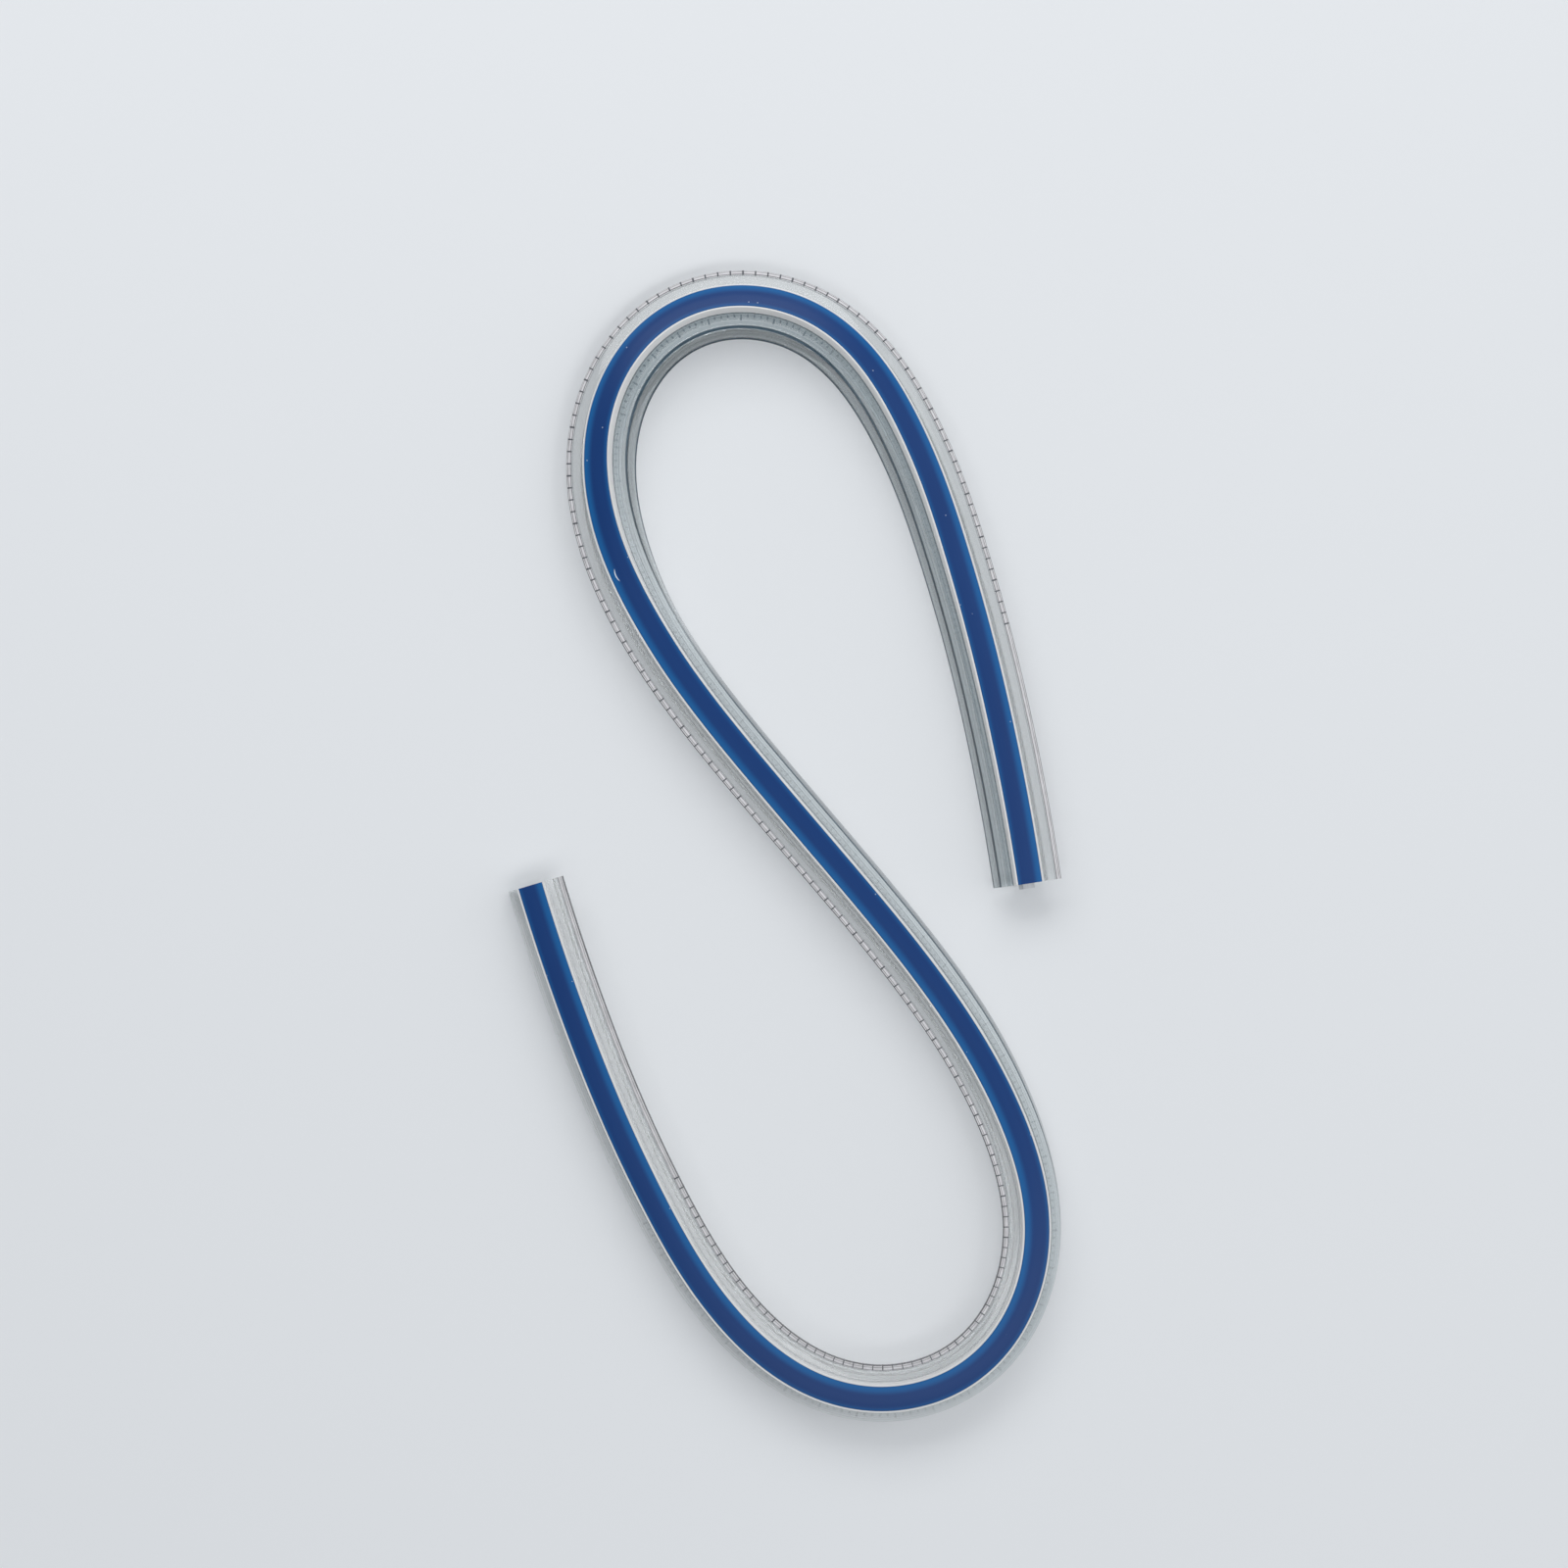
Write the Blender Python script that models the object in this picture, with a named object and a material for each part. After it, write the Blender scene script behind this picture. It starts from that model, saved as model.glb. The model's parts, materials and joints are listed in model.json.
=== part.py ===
# Flexible curve ruler, bent into an S and lying on its flat underside.
# A clear sleeve with an ink edge and a pencil edge holds a white channel, a blue strip along
# the top, and a lead core between two spring-steel strips. Every piece runs the whole length,
# split into links that turn about upright axes on the core, so that the ruler can be bent.
# Metres, +Z up. A section is drawn in (across, up) from the middle of the lead core, where
# across is to the right of someone who walks from the first end to the second.

import functools
import math

import bmesh
import bpy
from mathutils import Vector

# Length along the lead core, and the links that it is split into
ruler_length = 0.3875
link_count = 10
root_link = 5

# Lead core and the spring strips on either side of it
lead_width = 0.00185
lead_height = 0.0021
lead_chamfer = 0.0002
lead_stub = 0.0007
spring_thickness = 0.0003
core_clearance = 0.0002

# White channel round the core, with a rebate along its top
channel_wall = 0.0005
channel_lip_height = 0.0006
channel_lip_width = 0.00015
channel_slope_width = 0.0001
channel_chamfer = 0.0002

# Blue strip that lies in the rebate
strip_thickness = 0.0005
strip_clearance = 0.0002
strip_edge_chamfer = 0.0001

# Clear sleeve: tray, pencil shoulder and ink flange
sleeve_clearance = 0.0002
tray_floor = 0.0006
tray_wall = 0.0006
tray_chamfer = 0.0002
pencil_reach = 0.00433
pencil_slant = 0.00059
pencil_shoulder_drop = 0.002
pencil_root_drop = 0.0012
pencil_round = 0.0005
pencil_foot_chamfer = 0.00025
flange_reach = 0.00476
flange_band = 0.00084
flange_band_drop = 0.0008
flange_tip_drop = 0.0006
flange_root_drop = 0.0011
flange_tip_thickness = 0.0008
flange_root_thickness = 0.001
flange_tip_chamfer = 0.0002
flange_root_round = 0.0004

# Bend axes: a round tongue on one link turns in a round socket of the next
tongue_margin = 0.0007
link_slit = 0.0003
cutter_overrun = 0.004
disc_sides = 32

# Route: heading in degrees at shares of the length, with 0 along +X and 90 along +Y
route_shares = (0, 0.1, 0.15, 0.2, 0.25, 0.3, 0.35, 0.4, 0.5,
                0.6, 0.65, 0.7, 0.75, 0.8, 0.85, 0.9, 1)
route_headings = (98.5, 105.5, 111, 129.5, 177.5, 235.5, 277, 299, 310.5,
                  299.5, 281.5, 243, 190.5, 145, 122, 114.5, 106.5)

# Roll: how far the ridge leans over to the right, in degrees, at shares of the length
roll_shares = (0, 0.1, 0.17, 0.23, 0.31, 0.36, 0.41, 0.58, 0.67, 0.84, 1)
roll_angles = (12, 13, 20, 30, 29, 15, 0, 0, -8, -8, -11)

# How finely the route is added up, and the most that one ring may turn, roll or run on
route_steps = 1500
ring_turn = math.radians(6)
ring_roll = math.radians(4)
ring_run_share = 0.03


def smooth_value(share, shares, values):
    """The value at a share of the length, on a smooth curve that turns only at listed values."""
    slopes = [
        (values[i + 1] - values[i]) / (shares[i + 1] - shares[i]) for i in range(len(shares) - 1)
    ]
    tangents = [slopes[0]]
    for i in range(1, len(slopes)):
        before = shares[i] - shares[i - 1]
        after = shares[i + 1] - shares[i]
        blended = (slopes[i - 1] * after + slopes[i] * before) / (before + after)
        tangents.append(blended if slopes[i - 1] * slopes[i] > 0 else 0)
    tangents.append(slopes[-1])
    share = min(max(share, shares[0]), shares[-1])
    span = max(i for i in range(len(slopes)) if shares[i] <= share)
    width = shares[span + 1] - shares[span]
    t = (share - shares[span]) / width
    return (
        values[span] * (1 + 2 * t) * (1 - t) ** 2
        + tangents[span] * width * t * (1 - t) ** 2
        + values[span + 1] * t * t * (3 - 2 * t)
        - tangents[span + 1] * width * t * t * (1 - t)
    )


@functools.cache
def heading_at(station):
    return math.radians(smooth_value(station / ruler_length, route_shares, route_headings))


@functools.cache
def roll_at(station):
    return math.radians(smooth_value(station / ruler_length, roll_shares, roll_angles))


def add_up_route():
    """Points at equal steps along the core, from its first end, before they are centred."""
    step = ruler_length / route_steps
    points = [Vector((0, 0, 0))]
    for i in range(route_steps):
        heading = heading_at((i + 0.5) * step)
        points.append(points[-1] + step * Vector((math.cos(heading), math.sin(heading), 0)))
    return points


def route_point(points, station):
    """The point of the route at a station, which runs straight on past both ends."""
    inside = min(max(station, 0), ruler_length)
    place = inside / ruler_length * route_steps
    before = min(int(place), route_steps - 1)
    point = points[before].lerp(points[before + 1], place - before)
    heading = heading_at(inside)
    return point + (station - inside) * Vector((math.cos(heading), math.sin(heading), 0))


# Half widths and heights of the section, from the core outwards
spring_inner = lead_width / 2 + core_clearance
spring_outer = spring_inner + spring_thickness
cavity_half_width = spring_outer + core_clearance
cavity_half_height = lead_height / 2 + core_clearance
channel_half_width = cavity_half_width + channel_wall
channel_half_height = cavity_half_height + channel_wall
channel_lip_outer = channel_half_width - channel_slope_width
channel_lip_inner = channel_lip_outer - channel_lip_width
strip_half_width = channel_lip_inner - strip_clearance
strip_bottom = channel_half_height + strip_clearance
ridge_top = strip_bottom + strip_thickness
pocket_half_width = channel_half_width + sleeve_clearance
pocket_floor = -channel_half_height - sleeve_clearance
ruler_bottom = pocket_floor - tray_floor
tray_outer = pocket_half_width + tray_wall


def rounded_corner(before, corner, after, radius, steps):
    """Points of an arc that rounds a corner, or of a chamfer when there is one step."""
    to_before = (Vector(before) - Vector(corner)).normalized()
    to_after = (Vector(after) - Vector(corner)).normalized()
    half_angle = to_before.angle(to_after) / 2
    back = radius / math.tan(half_angle)
    centre = Vector(corner) + (to_before + to_after).normalized() * radius / math.sin(half_angle)
    first = (Vector(corner) + to_before * back - centre).normalized()
    last = (Vector(corner) + to_after * back - centre).normalized()
    return [tuple(centre + radius * first.slerp(last, i / steps)) for i in range(steps + 1)]


def rounded_outline(corners):
    """An outline from (across, up, radius, steps) corners, each sharp where its radius is 0."""
    outline = []
    for i, (across, up, radius, steps) in enumerate(corners):
        if radius == 0:
            outline.append((across, up))
            continue
        before = corners[i - 1][:2]
        after = corners[(i + 1) % len(corners)][:2]
        outline += rounded_corner(before, (across, up), after, radius, steps)
    return outline


def box_outline(left, right, bottom, top, chamfer=0):
    """A rectangle, chamfered on all four corners if a chamfer is given."""
    return rounded_outline([
        (left, bottom, chamfer, 1),
        (right, bottom, chamfer, 1),
        (right, top, chamfer, 1),
        (left, top, chamfer, 1),
    ])


@functools.cache
def sleeve_outline():
    """Clear extrusion, anticlockwise from the foot of the pencil edge."""
    tip_top = ridge_top - flange_tip_drop
    return rounded_outline([
        (-pencil_reach, ruler_bottom, pencil_foot_chamfer, 1),
        (tray_outer, ruler_bottom, tray_chamfer, 1),
        (tray_outer, ridge_top - flange_root_drop - flange_root_thickness, flange_root_round, 2),
        (flange_reach, tip_top - flange_tip_thickness, flange_tip_chamfer, 1),
        (flange_reach, tip_top, flange_tip_chamfer, 1),
        (flange_reach - flange_band, ridge_top - flange_band_drop, 0, 1),
        (pocket_half_width, ridge_top - flange_root_drop, 0, 1),
        (pocket_half_width, pocket_floor, 0, 1),
        (-pocket_half_width, pocket_floor, 0, 1),
        (-pocket_half_width, ridge_top - pencil_root_drop, 0, 1),
        (-pencil_reach + pencil_slant, ridge_top - pencil_shoulder_drop, pencil_round, 3),
    ])


def channel_outline():
    """White channel with a lip on each side of its rebate, anticlockwise."""
    lip_top = channel_half_height + channel_lip_height
    half = [
        (channel_half_width, -channel_half_height, channel_chamfer, 1),
        (channel_half_width, ridge_top - flange_root_drop, 0, 1),
        (channel_lip_outer, lip_top, 0, 1),
        (channel_lip_inner, lip_top, 0, 1),
        (channel_lip_inner, channel_half_height, 0, 1),
    ]
    return rounded_outline(half + [(-corner[0],) + corner[1:] for corner in reversed(half)])


def strip_outline():
    """Blue strip with its two upper edges eased."""
    return rounded_outline([
        (-strip_half_width, strip_bottom, 0, 1),
        (strip_half_width, strip_bottom, 0, 1),
        (strip_half_width, ridge_top, strip_edge_chamfer, 1),
        (-strip_half_width, ridge_top, strip_edge_chamfer, 1),
    ])


def rolled(point, roll):
    """A section point after the section leans over to the right."""
    across, up = point
    return (
        across * math.cos(roll) + up * math.sin(roll),
        up * math.cos(roll) - across * math.sin(roll),
    )


@functools.cache
def core_height(station):
    """Height of the core where the lowest corner of the rolled sleeve meets the surface."""
    return -min(rolled(point, roll_at(station))[1] for point in sleeve_outline())


@functools.cache
def widest_reach():
    """The furthest that any rolled section reaches to either side of the core."""
    stations = [share * ruler_length for share in roll_shares]
    return max(
        abs(rolled(point, roll_at(station))[0])
        for station in stations
        for point in sleeve_outline()
    )


def ring_stations(start, end):
    """Stations from start to end, closer together where the route turns or rolls."""
    step = ruler_length / route_steps
    stations = [start]
    station = start
    while station + step < end:
        station += step
        last = stations[-1]
        turned = abs(heading_at(station) - heading_at(last)) >= ring_turn
        leaned = abs(roll_at(station) - roll_at(last)) >= ring_roll
        if turned or leaned or station - last >= ring_run_share * ruler_length:
            stations.append(station)
    if end - stations[-1] < step * 2 and len(stations) > 1:
        stations.pop()
    return stations + [end]


def centred_route():
    """The route, moved so that the middle of the ruler's outer box is at the origin."""
    points = add_up_route()
    outline = sleeve_outline()
    corners = []
    for station in ring_stations(0, ruler_length):
        heading = heading_at(station)
        right = Vector((math.sin(heading), -math.cos(heading), 0))
        for point in outline:
            corners.append(route_point(points, station) + right * rolled(point, roll_at(station))[0])
    middle = Vector([
        (min(c[axis] for c in corners) + max(c[axis] for c in corners)) / 2 for axis in range(3)
    ])
    return [point - middle for point in points]


def clear_scene():
    for obj in list(bpy.data.objects):
        bpy.data.objects.remove(obj)
    for collection in list(bpy.data.collections):
        bpy.data.collections.remove(collection)


def new_collection(name):
    collection = bpy.data.collections.new(name)
    bpy.context.scene.collection.children.link(collection)
    return collection


def new_material(name, colour, roughness, metallic=0.0, transmission=0.0):
    material = bpy.data.materials.new(name)
    material.use_nodes = True
    shader = material.node_tree.nodes["Principled BSDF"]
    shader.inputs["Base Color"].default_value = (*colour, 1)
    shader.inputs["Roughness"].default_value = roughness
    shader.inputs["Metallic"].default_value = metallic
    shader.inputs["Transmission Weight"].default_value = transmission
    return material


def new_profile(name, outline, collection):
    """A closed outline as a curve, to sweep along a route."""
    data = bpy.data.curves.new(name, "CURVE")
    data.dimensions = "2D"
    spline = data.splines.new("POLY")
    spline.points.add(len(outline) - 1)
    for point, (across, up) in zip(spline.points, outline):
        point.co = (across, up, 0, 1)
    spline.use_cyclic_u = True
    profile = bpy.data.objects.new(name, data)
    profile.hide_render = True
    profile.display_type = "WIRE"
    collection.objects.link(profile)
    return profile


def swept_mesh(name, profile, route, start, end, origin):
    """The mesh of a profile swept from start to end, rolled along the way, about an origin."""
    stations = ring_stations(start, end)
    data = bpy.data.curves.new(name, "CURVE")
    data.dimensions = "3D"
    data.twist_mode = "Z_UP"
    data.bevel_mode = "OBJECT"
    data.bevel_object = profile
    data.use_fill_caps = True
    spline = data.splines.new("POLY")
    spline.points.add(len(stations) - 1)
    for point, station in zip(spline.points, stations):
        place = route_point(route, station) - origin
        point.co = (place.x, place.y, core_height(station), 1)
        point.tilt = roll_at(station)
    sweep = bpy.data.objects.new(name, data)
    bpy.context.scene.collection.objects.link(sweep)
    graph = bpy.context.evaluated_depsgraph_get()
    mesh = bpy.data.meshes.new_from_object(sweep.evaluated_get(graph))
    bpy.data.objects.remove(sweep)
    shell = bmesh.new()
    shell.from_mesh(mesh)
    bmesh.ops.remove_doubles(shell, verts=shell.verts, dist=core_clearance / 100)
    bmesh.ops.recalc_face_normals(shell, faces=shell.faces)
    shell.to_mesh(mesh)
    shell.free()
    mesh.name = name
    return mesh


def new_cutter(mesh, collection, place, heading):
    cutter = bpy.data.objects.new(mesh.name, mesh)
    cutter.location = place
    cutter.rotation_euler = (0, 0, heading)
    cutter.hide_render = True
    cutter.display_type = "WIRE"
    collection.objects.link(cutter)
    return cutter


def disc_mesh(name, radius, height):
    """An upright disc about the local origin, from below the ruler to above it."""
    mesh = bpy.data.meshes.new(name)
    shape = bmesh.new()
    bmesh.ops.create_cone(
        shape, cap_ends=True, segments=disc_sides, radius1=radius, radius2=radius, depth=height
    )
    shape.to_mesh(mesh)
    shape.free()
    return mesh


def block_mesh(name, length, width, height):
    """A block that starts at the local origin and runs along +X."""
    mesh = bpy.data.meshes.new(name)
    shape = bmesh.new()
    bmesh.ops.create_cube(shape, size=1)
    bmesh.ops.scale(shape, vec=(length, width, height), verts=shape.verts)
    bmesh.ops.translate(shape, vec=(length / 2, 0, 0), verts=shape.verts)
    shape.to_mesh(mesh)
    shape.free()
    return mesh


def add_cut(obj, cutter):
    modifier = obj.modifiers.new("cut by " + cutter.name, "BOOLEAN")
    modifier.operation = "DIFFERENCE"
    modifier.solver = "EXACT"
    modifier.object = cutter


def axis_of_link(number):
    """The number of the bend axis that a link turns about, or None for the root link."""
    if number == root_link:
        return None
    return number if number < root_link else number - 1


def carrier_of_axis(number):
    """The bend axis that carries this one, or None next to the root link."""
    return axis_of_link(number + 1 if number < root_link else number)


def make_axes(route, collection):
    """An empty on each bend axis, hung from the one nearer the root link, so bends add up."""
    places = {
        number: route_point(route, ruler_length * number / link_count)
        for number in range(1, link_count)
    }
    axes = {number: bpy.data.objects.new(f"bend_{number:02d}_axis", None) for number in places}
    for number, axis in axes.items():
        carrier = carrier_of_axis(number)
        axis.empty_display_size = tongue_radius
        axis.parent = axes.get(carrier)
        axis.location = places[number] - (places[carrier] if carrier else Vector((0, 0, 0)))
        collection.objects.link(axis)
    return axes, places


def make_end_cutters(number, place, collection):
    """What rounds a link's end into a tongue, and what hollows the next link's end for it."""
    height = 2 * (widest_reach() + ridge_top + cutter_overrun)
    heading = heading_at(ruler_length * number / link_count)
    tongue = disc_mesh(f"tongue_disc_{number:02d}", tongue_radius, height + cutter_overrun)
    block = block_mesh(f"tongue_block_{number:02d}", block_length, 2 * block_length, height)
    socket = disc_mesh(f"socket_disc_{number:02d}", socket_radius, height)
    kept, trimmed, hollowed = [
        new_cutter(mesh, collection, place, heading) for mesh in (tongue, block, socket)
    ]
    add_cut(trimmed, kept)
    return trimmed, hollowed


def make_link_piece(name, number, profile, route, place, stub):
    """One piece of one link, swept past the bend axis at its end, about the axis it turns on."""
    start = ruler_length * (number - 1) / link_count - (stub if number == 1 else 0)
    end = ruler_length * number / link_count + (socket_radius if number < link_count else 0)
    return swept_mesh(f"{name}_{number:02d}", profile, route, start, end, place)


def make_cavity(number, profile, route, collection):
    """The space through a link of the white channel, for the lead and its springs."""
    start = ruler_length * (number - 1) / link_count - cutter_overrun
    end = ruler_length * number / link_count + block_length
    middle = Vector((0, 0, 0))
    mesh = swept_mesh(f"core_space_{number:02d}", profile, route, start, end, middle)
    return new_cutter(mesh, collection, middle, 0)


def core_outlines():
    """The lead core and its two spring strips, side by side."""
    half_width = lead_width / 2
    half_height = lead_height / 2
    return (
        box_outline(-half_width, half_width, -half_height, half_height, lead_chamfer),
        box_outline(-spring_outer, -spring_inner, -half_height, half_height),
        box_outline(spring_inner, spring_outer, -half_height, half_height),
    )


tongue_radius = widest_reach() + tongue_margin
socket_radius = tongue_radius + link_slit
block_length = socket_radius + cutter_overrun


def main():
    clear_scene()
    ruler = new_collection("flexible_curve_ruler")
    helpers = new_collection("cutters_and_profiles")
    helpers.hide_render = True
    route = centred_route()
    axes, places = make_axes(route, ruler)
    cutters = {
        number: make_end_cutters(number, place, helpers) for number, place in places.items()
    }

    clear_pvc = new_material("clear_pvc", (0.78, 0.84, 0.84), 0.16, transmission=0.85)
    white_pvc = new_material("white_pvc", (0.78, 0.80, 0.82), 0.35)
    blue_pvc = new_material("blue_pvc", (0.025, 0.075, 0.22), 0.38)
    lead = new_material("lead", (0.42, 0.43, 0.45), 0.55, metallic=1.0)
    spring_steel = new_material("spring_steel", (0.55, 0.56, 0.58), 0.3, metallic=1.0)

    lead_outline, left_outline, right_outline = core_outlines()
    pieces = (
        ("clear_sleeve", sleeve_outline(), clear_pvc, 0),
        ("white_channel", channel_outline(), white_pvc, 0),
        ("blue_strip", strip_outline(), blue_pvc, 0),
        ("lead_core", lead_outline, lead, lead_stub),
        ("left_spring", left_outline, spring_steel, 0),
        ("right_spring", right_outline, spring_steel, 0),
    )
    space = box_outline(
        -cavity_half_width, cavity_half_width, -cavity_half_height, cavity_half_height
    )
    space_profile = new_profile("core_space_profile", space, helpers)

    for name, outline, material, stub in pieces:
        profile = new_profile(name + "_profile", outline, helpers)
        for number in range(1, link_count + 1):
            axis = axis_of_link(number)
            place = places[axis] if axis else Vector((0, 0, 0))
            mesh = make_link_piece(name, number, profile, route, place, stub)
            mesh.materials.append(material)
            obj = bpy.data.objects.new(mesh.name, mesh)
            obj.parent = axes.get(axis)
            ruler.objects.link(obj)
            if name == "white_channel":
                add_cut(obj, make_cavity(number, space_profile, route, helpers))
            if number > 1:
                add_cut(obj, cutters[number - 1][1])
            if number < link_count:
                add_cut(obj, cutters[number][0])


main()
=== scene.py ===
# Flexible curve ruler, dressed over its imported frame.
# Sections are drawn in millimetres from the middle of the lead core: (across, up), where across
# is to the right of someone walking from the first end to the second. The rest is in metres.

import json
import math

import bmesh
import bpy
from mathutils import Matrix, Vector


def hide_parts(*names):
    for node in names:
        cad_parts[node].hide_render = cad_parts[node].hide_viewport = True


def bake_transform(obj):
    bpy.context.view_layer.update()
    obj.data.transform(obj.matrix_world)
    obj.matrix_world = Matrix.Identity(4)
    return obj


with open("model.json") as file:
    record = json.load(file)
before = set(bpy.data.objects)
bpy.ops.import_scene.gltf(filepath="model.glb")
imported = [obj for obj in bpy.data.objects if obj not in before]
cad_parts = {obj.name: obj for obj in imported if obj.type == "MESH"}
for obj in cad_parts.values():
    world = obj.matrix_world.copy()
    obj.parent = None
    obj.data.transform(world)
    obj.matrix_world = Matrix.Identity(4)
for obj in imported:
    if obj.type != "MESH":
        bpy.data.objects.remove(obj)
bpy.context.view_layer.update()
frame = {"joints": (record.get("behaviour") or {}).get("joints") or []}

mm = 0.001
jointPlaces = {joint["name"]: Vector(joint["pos_m"]) for joint in frame["joints"]}

# The route is the same smooth curve as in the part's own source

route = {
    "length": 0.3875,
    "links": 10,
    "steps": 1500,
    "ringGap": 0.0008,
    "seamGap": 0.00005,   # the first and last ring of a zone sit this close to its rim
    "blendShare": 0.97,   # how far inside its zone a blend would stay
    "blendReach": 0.016,  # and within what distance of its joint
    "stub": 0.0007,       # how far the core stands out at the first end
    "headingShares": (0, 0.1, 0.15, 0.2, 0.25, 0.3, 0.35, 0.4, 0.5,
                      0.6, 0.65, 0.7, 0.75, 0.8, 0.85, 0.9, 1),
    "headings": (98.5, 105.5, 111, 129.5, 177.5, 235.5, 277, 299, 310.5,
                 299.5, 281.5, 243, 190.5, 145, 122, 114.5, 106.5),
    "rollShares": (0, 0.1, 0.17, 0.23, 0.31, 0.36, 0.41, 0.58, 0.67, 0.84, 1),
    "rolls": (12, 13, 20, 30, 29, 15, 0, 0, -8, -8, -11),
}
lastZone = route["links"] - 1


def smoothValue(share, shares, values):
    slopes = [
        (values[i + 1] - values[i]) / (shares[i + 1] - shares[i]) for i in range(len(shares) - 1)
    ]
    tangents = [slopes[0]]
    for i in range(1, len(slopes)):
        before = shares[i] - shares[i - 1]
        after = shares[i + 1] - shares[i]
        blended = (slopes[i - 1] * after + slopes[i] * before) / (before + after)
        tangents.append(blended if slopes[i - 1] * slopes[i] > 0 else 0)
    tangents.append(slopes[-1])
    share = min(max(share, 0), 1)
    span = max(i for i in range(len(slopes)) if shares[i] <= share)
    width = shares[span + 1] - shares[span]
    t = (share - shares[span]) / width
    return (
        values[span] * (1 + 2 * t) * (1 - t) ** 2
        + tangents[span] * width * t * (1 - t) ** 2
        + values[span + 1] * t * t * (3 - 2 * t)
        - tangents[span + 1] * width * t * t * (1 - t)
    )


def headingAt(station):
    share = station / route["length"]
    return math.radians(smoothValue(share, route["headingShares"], route["headings"]))


def rollAt(station):
    return math.radians(smoothValue(station / route["length"], route["rollShares"], route["rolls"]))


def addUpRoute():
    step = route["length"] / route["steps"]
    points = [Vector((0, 0, 0))]
    for i in range(route["steps"]):
        heading = headingAt((i + 0.5) * step)
        points.append(points[-1] + step * Vector((math.cos(heading), math.sin(heading), 0)))
    middle = points[route["steps"] // 2]
    return [point - middle + jointPlaces["bend_05"] for point in points]   # joint 5 is half way


routePoints = addUpRoute()


def routePoint(station):
    inside = min(max(station, 0), route["length"])
    place = inside / route["length"] * route["steps"]
    before = min(int(place), route["steps"] - 1)
    point = routePoints[before].lerp(routePoints[before + 1], place - before)
    heading = headingAt(inside)
    return point + (station - inside) * Vector((math.cos(heading), math.sin(heading), 0))


# Sections

section = {
    "bottom": -2.55, "top": 2.45,
    "pocket": 2.15, "pocketFloor": -1.77, "trayOuter": 2.93,
    "pencilReach": 4.33, "pencilSlant": 0.59, "pencilShoulder": 0.45, "pencilRoot": 1.28,
    "pencilLip": 0.08, "pencilRootRun": 0.22, "pencilRootDrop": 0.1,
    "stepTop": (-2.96, 0.93), "stepFoot": (-3.02, 0.83),
    "flangeReach": 4.76, "flangeBand": 0.84, "flangeTip": 1.85, "flangeRoot": 1.35,
    "flangeUnder": 0.35, "flangeTipUnder": 1.05, "bandSlopeRun": 0.2, "bandSlopeDrop": 0.28,
    "flangeLip": 0.12, "flangeRootRun": 0.25, "flangeRootRise": 0.02,
    "channel": 2.125, "channelHeight": 1.75, "lipInner": 1.765, "lipOuter": 2.04, "lipTop": 2.35,
    "cavity": 1.625, "cavityHeight": 1.25, "cavityRound": 0.1,
    "strip": 1.745, "stripBottom": 1.77, "stripEdgeDrop": 0.04, "stripCrown": 0.012,
    "lead": 0.925, "leadHeight": 1.05, "leadRound": 0.18,
    "springInner": 1.125, "springOuter": 1.425, "springRound": 0.05,
}


def arcCorner(before, corner, after, radius, steps):
    toBefore = (Vector(before) - Vector(corner)).normalized()
    toAfter = (Vector(after) - Vector(corner)).normalized()
    half = toBefore.angle(toAfter) / 2
    back = radius / math.tan(half)
    centre = Vector(corner) + (toBefore + toAfter).normalized() * radius / math.sin(half)
    first = (Vector(corner) + toBefore * back - centre).normalized()
    last = (Vector(corner) + toAfter * back - centre).normalized()
    return [tuple(centre + radius * first.slerp(last, i / steps)) for i in range(steps + 1)]


# Each corner is (across, up, radius, steps of its arc), and radius 0 leaves it sharp
def roundedOutline(corners):
    outline = []
    for i, (across, up, radius, steps) in enumerate(corners):
        if radius == 0:
            outline.append((across, up))
        else:
            before = corners[i - 1][:2]
            after = corners[(i + 1) % len(corners)][:2]
            outline += arcCorner(before, (across, up), after, radius, steps)
    return outline


def boxOutline(left, right, bottom, top, radius, steps=2):
    return roundedOutline([
        (left, bottom, radius, steps), (right, bottom, radius, steps),
        (right, top, radius, steps), (left, top, radius, steps),
    ])


def sleeveOutline():
    s = section
    bandFoot = s["flangeReach"] - s["flangeBand"]
    return roundedOutline([
        (-s["pencilReach"], s["bottom"], 0.2, 4),
        (s["trayOuter"], s["bottom"], 0.2, 4),
        (s["trayOuter"], s["flangeUnder"], 0.4, 5),
        (s["flangeReach"], s["flangeTipUnder"], 0.18, 4),
        (s["flangeReach"], s["flangeTip"], 0.2, 5),
        (bandFoot + s["bandSlopeRun"], s["flangeTip"], 0.12, 3),
        (bandFoot, s["flangeTip"] - s["bandSlopeDrop"], 0.08, 3),
        (s["pocket"] + s["flangeRootRun"], s["flangeRoot"] + s["flangeRootRise"], 0.2, 3),
        (s["pocket"], s["flangeRoot"] + s["flangeLip"], 0.04, 2),
        (s["pocket"], s["pocketFloor"], 0.03, 2),
        (-s["pocket"], s["pocketFloor"], 0.03, 2),
        (-s["pocket"], s["pencilRoot"] + s["pencilLip"], 0.04, 2),
        (-s["pocket"] - s["pencilRootRun"], s["pencilRoot"] - s["pencilRootDrop"], 0.1, 3),
        (*s["stepTop"], 0.06, 2),
        (*s["stepFoot"], 0.06, 2),
        (-s["pencilReach"] + s["pencilSlant"], s["pencilShoulder"], 0.42, 6),
    ])


def channelOutline():
    s = section
    half = [
        (s["channel"], -s["channelHeight"], 0.15, 3),
        (s["channel"], s["flangeRoot"], 0, 1),
        (s["lipOuter"], s["lipTop"], 0.09, 3),
        (s["lipInner"], s["lipTop"], 0.05, 2),
        (s["lipInner"], s["channelHeight"], 0, 1),
    ]
    return roundedOutline(half + [(-corner[0],) + corner[1:] for corner in reversed(half)])


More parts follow.
